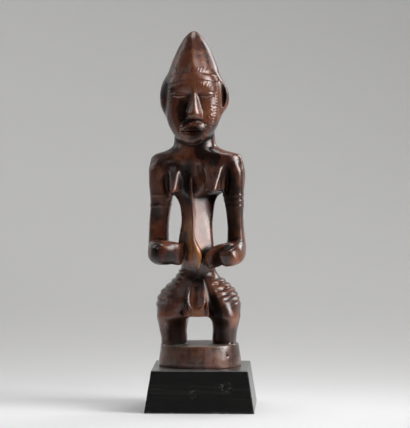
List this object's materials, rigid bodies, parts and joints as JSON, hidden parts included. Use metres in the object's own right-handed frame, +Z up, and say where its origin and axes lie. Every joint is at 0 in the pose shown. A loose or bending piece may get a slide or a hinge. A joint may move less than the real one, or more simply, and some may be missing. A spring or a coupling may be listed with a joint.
{
  "type": "carved wooden figure",
  "caption": "Standing woman carved from one block of dark wood with a crested head, hands at the belly and ribbed hips, on her own round base and a tapered square plinth.",
  "frame": {"origin": "middle of the plinth's underside", "axes": "+Z up, the figure faces along -Y, +X to the figure's left"},
  "size_m": [0.0856, 0.0856, 0.301],
  "materials": {
    "carved_wood": "old oiled dark wood, worn glossy",
    "black_wood": "black lacquer, glossy, lightly scuffed"
  },
  "bodies": {
    "root": {"figure": "carved_wood", "plinth": "black_wood"}
  },
  "joints": []
}
